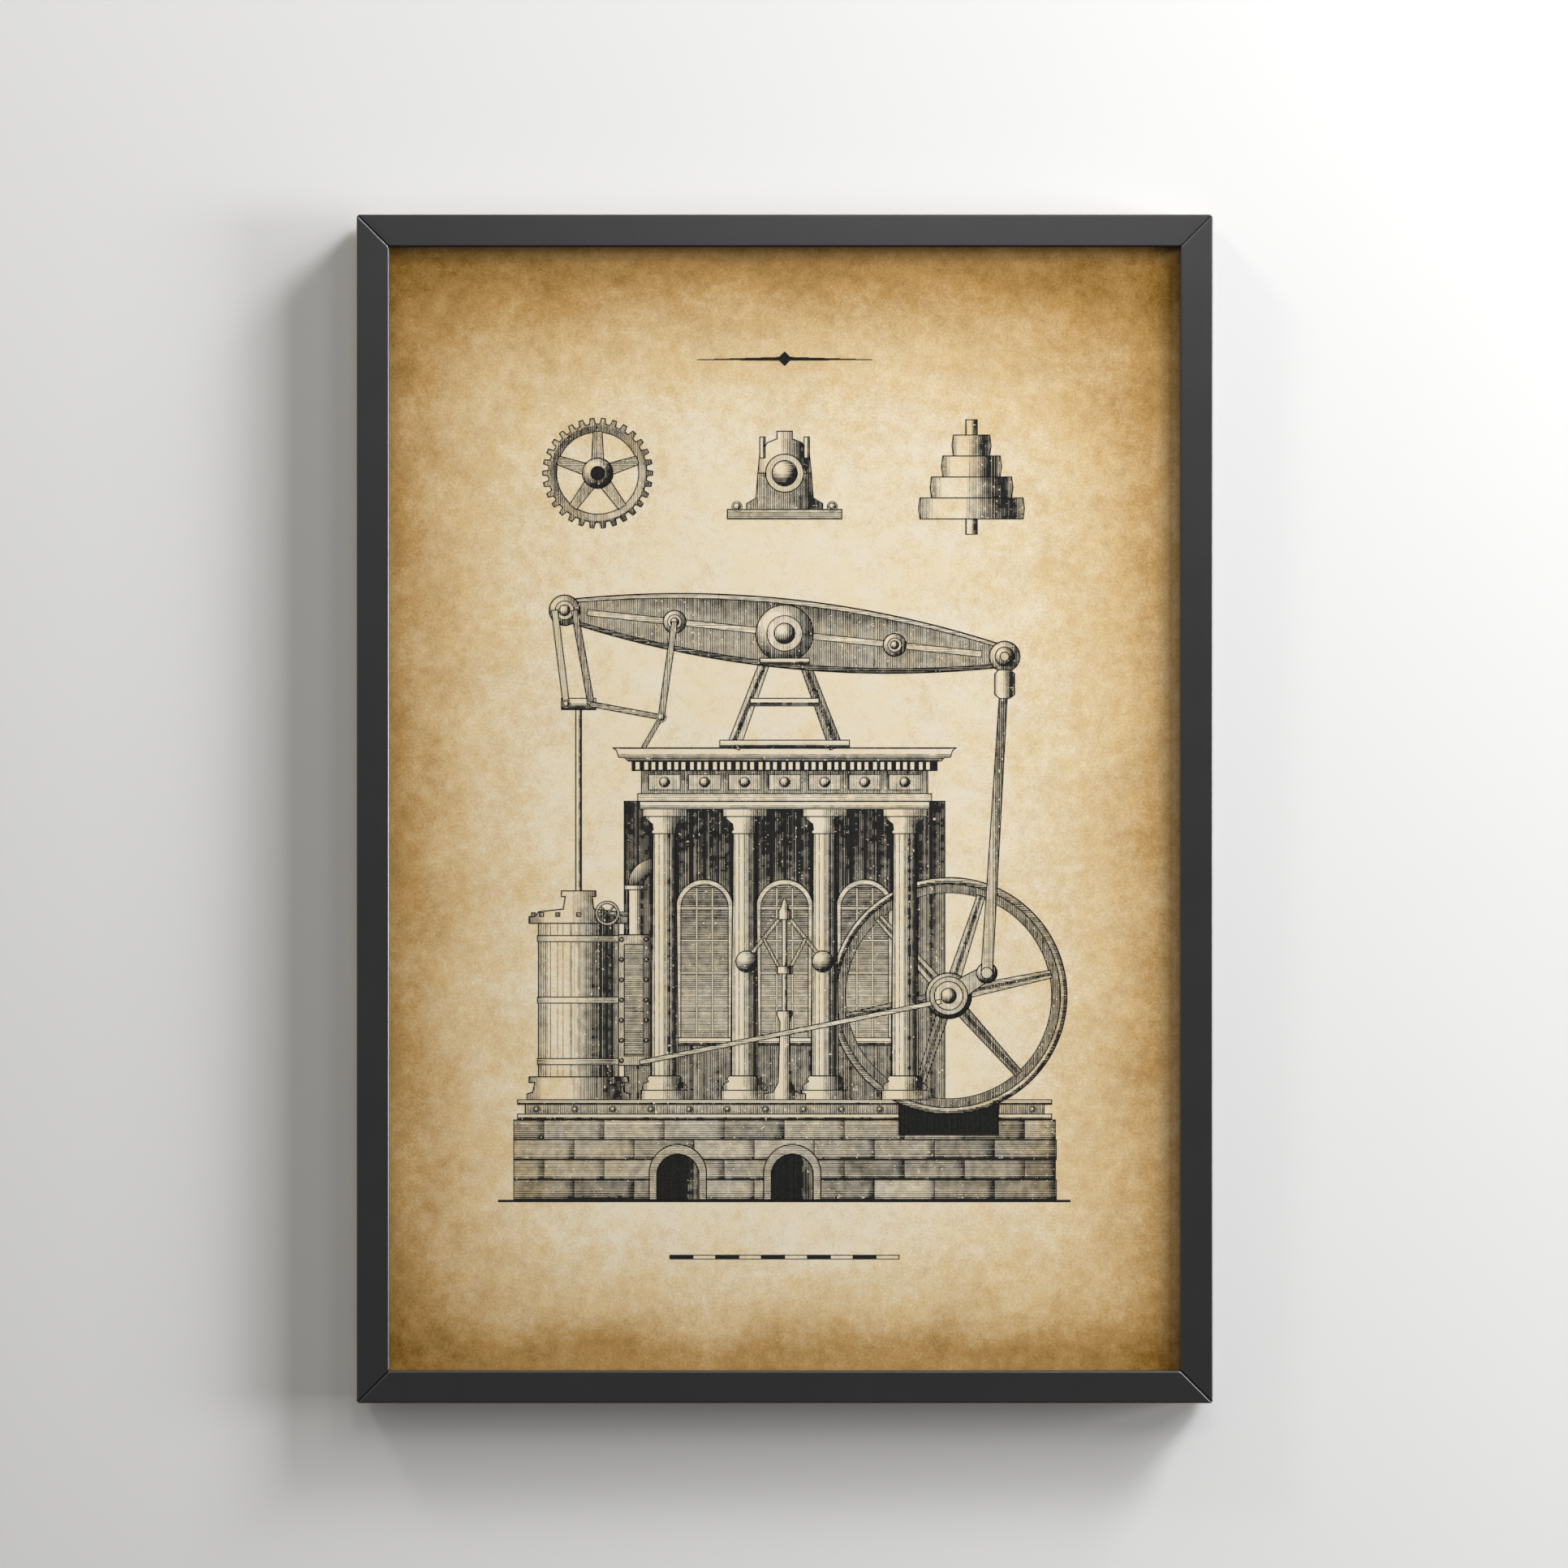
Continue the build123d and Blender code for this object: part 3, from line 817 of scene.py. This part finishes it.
def hatching(wanted, pitch, seed):
    """Ribbons for the cut lines, a pitch apart. Along a line the shade is taken to the
    nearest eighth, that share of the pitch is inked, and a ribbon runs while it stays.
    Wear leaves bare specks, and some lines print heavier than others."""
    shade = darkness * (cut == wanted)
    part = (shade > 0.1) & (shade < 0.93)
    specks = worn(2, seed) + worn(5, seed + 1) > 1.6
    shade = shade + part * ((worn(9, seed + 2) - 0.5) * 0.3 - 0.9 * specks)
    across, along = (plate_x, plate_z) if wanted == DOWN else (plate_z, plate_x)
    shade, part = (shade.T, part.T) if wanted == DOWN else (shade, part)
    step = round(pitch / cell)
    lines = across[step // 2::step]
    lines = lines + np.random.default_rng(seed + 4).uniform(-0.1, 0.1, len(lines)) * pitch
    heavier = np.random.default_rng(seed + 3).normal(0, 0.06, (len(lines), 1))
    eighths = np.round((shade[step // 2::step] + heavier * part[step // 2::step]) * 8)
    eighths = np.clip(eighths, 0, 8)
    line, place = np.nonzero(np.diff(np.pad(eighths, ((0, 0), (1, 1))), axis=1))
    pair = np.flatnonzero(line[1:] == line[:-1])
    line, start, stop = line[pair], place[pair], place[pair + 1]
    width = eighths[line, start] / 8 * pitch
    width = width + (width == pitch) * pitch * 0.3
    low, high = along[0] - cell / 2 + start * cell, along[0] - cell / 2 + stop * cell
    near, far = lines[line] - width / 2, lines[line] + width / 2
    corners = [near, low, far, low, far, high, near, high]
    if wanted == LEVEL:
        corners = [low, near, high, near, high, far, low, far]
    return np.stack(corners, 1).reshape(-1, 4, 2)[width > 0]


def outlines(step):
    """Ribbons along the shapes' edges, in short steps, left out where a later shape
    lies over them."""
    ribbons = []
    for mark, (first, last, width) in enumerate(strokes, 1):
        way = last - first
        length = np.linalg.norm(way, axis=1)
        which, number = runs(np.ceil(length / step).astype(int) * (width > 0))
        share = step / length[which]
        start = first[which] + way[which] * (number * share)[:, None]
        stop = first[which] + way[which] * np.minimum((number + 1) * share, 1)[:, None]
        column, row = ((start + stop) / 2 / cell + (len(plate_x) / 2, len(plate_z) / 2)).astype(int).T
        unit = (way / np.maximum(length, 1e-9)[:, None])[which] * width / 2
        side = unit[:, ::-1] * (-1, 1)
        start, stop = start - unit, stop + unit
        ribbon = np.stack([start - side, stop - side, stop + side, start + side], 1)
        ribbons.append(ribbon[owner[row, column] <= mark])
    return np.concatenate(ribbons)


# The print itself: a film of ink for the cuts each way and one for the edges, one over
# another in the air between the sheet and the glass. The ink is dull and thin in places.
ink = Finish("engraver_ink")
thinness = ink.noise(1.3 * MM, detail=3)
ink.surface({
    "Base Color": ink.blend(
        ink.between(thinness, 0.4, 0.75), (0.006, 0.006, 0.006), (0.02, 0.018, 0.016)
    ),
    "Roughness": 0.7,
    "Specular IOR Level": 0.3,
})
sheet_front, glass_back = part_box("print_sheet")[0].y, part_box("glazing")[1].y
films = {
    "print_cuts_upright": hatching(DOWN, 0.75, 11),
    "print_cuts_level": hatching(LEVEL, 0.75, 31),
    "print_edges": outlines(0.6),
}
for number, (name, ribbons) in enumerate(films.items()):
    share = (number + 1) / (len(films) + 1)
    x, z = ribbons[..., 0].ravel(), ribbons[..., 1].ravel()
    y = np.full(len(x), sheet_front + share * (glass_back - sheet_front))
    points = np.stack([x * MM, y, middle_z + z * MM], 1)
    film = add_piece(name, points, [np.arange(len(x)).reshape(-1, 4)])
    film.data.materials.append(ink.material)
    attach(film, "root")


# Backing board: 3 mm hardboard behind the sheet, pressed wood fibre with a smooth brown
# face, mottled and flecked with darker fibres.

board = Finish("hardboard")
fibres = board.noise(0.8 * MM, detail=4, roughness=0.65)
flakes = board.noise(3.5 * MM, detail=3, roughness=0.6)
patches = board.noise(60 * MM, detail=3)
board_colour = board.node(
    "ValToRGB",
    {"stops": [(0.3, linear(74, 47, 28)), (0.5, linear(118, 82, 52)), (0.7, linear(152, 113, 77))]},
    {"Fac": fibres * 0.5 + flakes * 0.25 + patches * 0.25},
)
board.surface({
    "Base Color": board_colour,
    "Roughness": board.between(patches, 0.3, 0.7, 0.5, 0.66),
    "Normal": board.bump(fibres + flakes, 0.05 * MM),
})
dress("backing_board", board)


# Points and fold nails: cut and folded from zinc-plated steel strip, driven into the
# moulding with a point gun and a corner press. The plating is dull with a fine spangle.

zinc = Finish("zinc_plated_steel")
spangle_size = 1.1 * MM
crystals = {"Vector": zinc.place(), "Scale": 1 / spangle_size}
spangle = zinc.node("TexVoronoi", {"feature": "F1"}, crystals, output="Color")
spangle_level = zinc.node("SeparateColor", {}, {0: spangle})
rubbed = zinc.noise(0.35 * MM, detail=3, stretch=(1, 1, 9))
dull_zinc, bright_zinc = linear(168, 172, 176), linear(196, 199, 202)
zinc.surface({
    "Base Color": zinc.blend(zinc.between(spangle_level, 0, 1), dull_zinc, bright_zinc),
    "Metallic": 1.0,
    "Roughness": 0.3 + rubbed * 0.22,
    "Normal": zinc.bump(rubbed, 0.01 * MM),
})
for name in nodes:
    if name.startswith(("point_", "fold_nail_")):
        dress(name, zinc)


# Hanger: a sawtooth strip stamped from brass-plated steel, joggled off the rail and held
# by two round-headed pins of the same plate.

plate = Finish("brass_plated_steel")
rolling = plate.noise(0.4 * MM, detail=3, stretch=(30, 1, 1))
tarnish = plate.noise(6 * MM, detail=4, roughness=0.6)
bright_brass, dull_brass = linear(201, 168, 98), linear(150, 116, 62)
plate.surface({
    "Base Color": plate.blend(plate.between(tarnish, 0.4, 0.75), bright_brass, dull_brass),
    "Metallic": 1.0,
    "Roughness": 0.24 + rolling * 0.18 + plate.between(tarnish, 0.4, 0.75, 0, 0.15),
    "Normal": plate.bump(rolling, 0.008 * MM),
})
for name in ("hanger_pin_left", "hanger_pin_right"):
    dress(name, plate)

# The strip, with a row of seven notches in its lower edge for the nail to sit in
strip_low, strip_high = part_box("hanger")
strip_middle = (strip_low.z + strip_high.z) / 2
half_height = (strip_high.z - strip_low.z) / 2
metal = 0.8 * MM
eased_edge = 0.12 * MM
corner_radius = 2.5 * MM
corner_x = strip_high.x - corner_radius
ear = 9 * MM
joggle_run = 3 * MM
lean = 0.5 * MM
bend = 0.35 * MM
bend_x = strip_high.x - ear
notch_half = 1.4 * MM
notch_depth = 1.75 * MM
notch_flat = 0.12
notches = 3 * MM * np.arange(-3, 4)


def joggled(x, foot, low, high):
    """The strip's face over x: high in the middle, low past the foot of the joggle, and
    straight between, with both bends rounded by averaging over a short length."""
    spread = np.linspace(-bend, bend, 15)
    bends = [foot - joggle_run, foot]
    return np.interp(np.abs(x)[:, None] + spread, bends, [high, low]).mean(1)


bend_ends = np.array([bend_x - lean - joggle_run, bend_x - joggle_run, bend_x - lean, bend_x])
half_columns = np.concatenate([
    corner_x + corner_radius * np.sin(np.linspace(0, math.pi / 2, 9)),
    (bend_ends[:, None] + np.linspace(-bend, bend, 7)).ravel(),
    np.abs(notches[:, None] + notch_half * np.array([-1, -notch_flat, notch_flat, 1])).ravel(),
])
x = np.unique(np.round(np.concatenate([-half_columns, half_columns]), 7))
into_corner = np.maximum(np.abs(x) - corner_x, 0)
top = half_height - corner_radius + np.sqrt(np.maximum(corner_radius ** 2 - into_corner ** 2, 0))
notch = 1 - np.abs(x[:, None] - notches).min(1) / notch_half
bottom = np.clip(notch / (1 - notch_flat), 0, 1) * notch_depth - top
outer = joggled(x, bend_x - lean, strip_low.y + metal, strip_high.y)
inner = joggled(x, bend_x, strip_low.y, strip_high.y - metal)

# Each column is a ring of eight points round the strip, from the outer face's top
corners = [
    (outer, top - eased_edge), (outer, bottom + eased_edge),
    (outer - eased_edge, bottom), (inner + eased_edge, bottom),
    (inner, bottom + eased_edge), (inner, top - eased_edge),
    (inner + eased_edge, top), (outer - eased_edge, top),
]
points = np.stack([np.stack([x, y, strip_middle + z], 1) for y, z in corners], 1)
index = np.arange(points.shape[0] * len(corners)).reshape(-1, len(corners))
beside = np.roll(index, -1, 1)
sides = np.stack([index[:-1], index[1:], beside[1:], beside[:-1]], 2).reshape(-1, 4)
ends = np.stack([index[0], index[-1][::-1]])
strip = add_piece("hanger_strip", points.reshape(-1, 3), [sides, ends], smooth_under=2)
strip.data.materials.append(plate.material)
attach(strip, "root")
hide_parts("hanger")


# Bumpers: two soft round pads of dark rubber, stuck to the bottom corners so that the
# frame hangs parallel to the wall.

rubber = Finish("soft_rubber")
dust = rubber.noise(1.6 * MM, detail=4, roughness=0.65)
rubber.surface({
    "Base Color": rubber.blend(rubber.between(dust, 0.4, 0.8), (0.012, 0.012, 0.012), (0.07, 0.066, 0.06)),
    "Roughness": rubber.between(dust, 0.3, 0.8, 0.55, 0.85),
    "Normal": rubber.bump(dust, 0.02 * MM),
})
for name in ("bumper_left", "bumper_right"):
    dress(name, rubber)


# The wall that the frame hangs on and the floor below it, both pale, matt and plain. The
# wall is clear from behind and stops no light, so that the back can be seen and lit, and
# the floor throws none back. It stands a hair behind the hanger and the bumpers.


def add_sheet(name, corner, across, along):
    """A plain rectangle from a corner, with its two sides as vectors."""
    corner, across, along = np.array(corner), np.array(across), np.array(along)
    points = [corner, corner + across, corner + across + along, corner + along]
    return add_piece(name, points, [np.array([[0, 1, 2, 3]])])


floor_level = -1.5
wall_clearance = 0.2 * MM
wall = add_sheet("stage_wall", (-2.2, wall_clearance, floor_level), (4.4, 0, 0), (0, 0, 3.1))
floor = add_sheet("stage_floor", (-4, -5, floor_level), (8, 0, 0), (0, 9, 0))
plaster = Finish("pale_plaster")
plaster_coat = plaster.noise(90 * MM, detail=4)
matt = plaster.node("BsdfPrincipled", {}, {
    "Base Color": plaster.blend(plaster_coat, (0.775, 0.775, 0.775), (0.785, 0.785, 0.785)),
    "Roughness": 0.9,
    "Specular IOR Level": 0.2,
})
behind = plaster.node("NewGeometry", {}, {}, output="Backfacing")
plaster.end(plaster.node("MixShader", {}, {0: behind, 1: matt, 2: plaster.node("BsdfTransparent")}))
wall.data.materials.append(plaster.material)
wall.visible_shadow = False
wall.visible_diffuse = False
floor.data.materials.append(plaster.material)
floor.visible_diffuse = False
floor.visible_glossy = False

# Painted shade: the gap between the frame and the wall is kept dark by a black sheet in it,
# which only scattered light meets, so that the bare wood's glow stays off the wall
gap = add_sheet(
    "stage_gap", (frame_left, frame_back / 2, frame_bottom),
    (frame_right - frame_left, 0, 0), (0, 0, frame_top - frame_bottom),
)
# The sheet's flat black finish is painted shade for the gap behind the frame
gap_shade = Finish("painted_gap_shade")
gap_shade.surface({"Base Color": (0.01, 0.01, 0.01), "Roughness": 1.0, "Specular IOR Level": 0.0})
gap.data.materials.append(gap_shade.material)
gap.visible_camera = False
gap.visible_glossy = False
gap.visible_transmission = False
gap.visible_shadow = False


# Soft studio light: three cool panels to the right, high, at the side and raking, as from a
# tall window, two warm fills ahead, a strip from the upper left for the far edges, and a
# broad panel behind for the back.

frame_middle = Vector((0, frame_front, middle_z))
warm, cool = (1, 0.985, 0.95), (1, 1.003, 1.02)


def add_panel(name, direction, distance, size, radiance, tint):
    """A square light at a distance from the frame's middle, facing it."""
    lamp = bpy.data.lights.new(name, "AREA")
    lamp.size = size
    lamp.energy = 4 * size * size * radiance
    lamp.color = tint
    panel = bpy.data.objects.new(name, lamp)
    way = Vector(direction).normalized()
    panel.location = frame_middle + way * distance
    panel.rotation_euler = way.to_track_quat("Z", "Y").to_euler()
    panel.visible_camera = False
    bpy.context.scene.collection.objects.link(panel)
    return panel


add_panel("high_key", (1.8, -1, 2.0), 3.0, 0.9, 25.4, cool)
add_panel("side_key", (1.8, -1, 1.0), 3.0, 0.9, 6.2, cool)
add_panel("raking_key", (2.8, -1, 0), 3.2, 0.9, 18.5, cool)
add_panel("upper_fill", (0.5, -1, 0.8), 2.4, 0.5, 4.7, warm)
add_panel("front_fill", (0.08, -1, 0.55), 2.4, 0.4, 7.1, warm)
add_panel("left_strip", (-1.41, -0.95, 1.92), 2.7, 0.4, 17, warm)
add_panel("back_panel", (-0.5, 0.75, 0.45), 2.8, 1.6, 8.0, cool)

room = bpy.data.worlds.new("studio_room")
bpy.context.scene.world = room
room.use_nodes = True
sky = Finish("studio_room", room.node_tree)
way = sky.node("TexCoord", output="Generated")


def toward(direction):
    """How squarely the way looked lies along a direction: the cosine between them."""
    operation = {"operation": "DOT_PRODUCT"}
    return sky.node("VectorMath", operation, {0: way, 1: direction}, output="Value")


brightness = sky.between(toward((-0.707, 0, 0.707)), 0.1, 0.7, 0, 0.42)
brightness = brightness + sky.between(toward((0, -1, 0)), 0.5, 1, 0, 0.16)
brightness = brightness + sky.between(toward((0, 1, 0)), 0.1, 0.8, 0, 0.8)
seen = sky.node("LightPath", {}, {}, output="Is Camera Ray")
strength = brightness * (1 - seen) + seen * 0.8
tint = sky.blend(seen, (1, 0.975, 0.9), (1, 1, 1))
shade = sky.node("Background", {}, {"Color": tint, "Strength": strength})
output = room.node_tree.nodes.new("ShaderNodeOutputWorld")
room.node_tree.links.new(shade.socket, output.inputs["Surface"])
bpy.context.scene.view_settings.view_transform = "Standard"

# The camera faces the frame squarely, a little above its middle, as far back as the
# photograph's flat look asks. The lens fits the photograph's width at the frame's face.

camera_distance = 2.2
camera_rise = 13 * MM
camera_offset = -0.37 * MM
picture_width = 820.2 * MM
sensor = 36.0
view_lens = bpy.data.cameras.new("front_view")
view_lens.sensor_width = sensor
view_lens.lens = sensor * camera_distance / picture_width
camera = bpy.data.objects.new("front_view", view_lens)
camera.location = (camera_offset, frame_front - camera_distance, middle_z + camera_rise)
camera.rotation_euler = (math.pi / 2, 0, 0)
bpy.context.scene.collection.objects.link(camera)
bpy.context.scene.camera = camera
